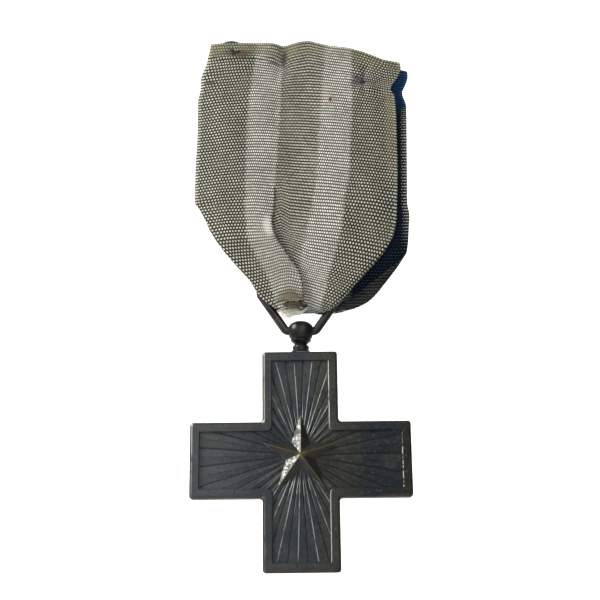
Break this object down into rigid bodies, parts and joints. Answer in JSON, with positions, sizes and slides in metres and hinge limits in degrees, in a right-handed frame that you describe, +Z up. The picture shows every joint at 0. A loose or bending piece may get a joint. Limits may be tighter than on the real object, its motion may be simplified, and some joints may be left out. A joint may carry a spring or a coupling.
{
  "type": "military service medal",
  "caption": "Struck metal cross with sunburst and star, hung from a folded striped ribbon by a ball and a wire ring, with a sewn-on brooch pin.",
  "frame": {"origin": "middle of the pin needle, straight above the middle of the cross, where the garment's cloth passes", "axes": "+Z up the hanging medal, -Y out of its front, +X to the right of someone looking at the front"},
  "size_m": [0.0394, 0.007, 0.0976],
  "materials": {
    "bronze": "dark patina, brown where worn",
    "ring_wire": "darkened",
    "ribbon": "ribbed, faded",
    "pin_metal": "dull, spotted with rust",
    "thread": "dull"
  },
  "bodies": {
    "root": {"ribbon_head": "ribbon", "stitch_left": "thread", "stitch_right": "thread", "pin_plate": "pin_metal", "hinge_bracket": "pin_metal", "hinge_rivet": "pin_metal", "catch_hook": "pin_metal"},
    "needle": {"pin_needle": "pin_metal"},
    "ribbon": {"ribbon_drop": "ribbon"},
    "ring": {"suspension_ring": "ring_wire"},
    "cross": {"cross_body": "bronze", "neck_collar": "bronze", "suspension_ball": "bronze"}
  },
  "joints": [
    {"name": "ribbon_swing", "type": "hinge", "parent": "root", "child": "ribbon", "pos_m": [0, -0.0033, -0.0048], "axis": [1, 0, 0], "range_deg": [-60, 60]},
    {"name": "ring_swing", "type": "hinge", "parent": "ribbon", "child": "ring", "pos_m": [0, -0.0033, -0.04267], "axis": [1, 0, 0], "range_deg": [-65, 65]},
    {"name": "cross_swing", "type": "hinge", "parent": "ring", "child": "cross", "pos_m": [0, -0.0033, -0.05057], "axis": [1, 0, 0], "range_deg": [-75, 75]},
    {"name": "needle_open", "type": "hinge", "parent": "root", "child": "needle", "pos_m": [0.00801, 0, -0.00189], "axis": [-0.2085, 0.4226, -0.882], "range_deg": [0, 75]}
  ]
}
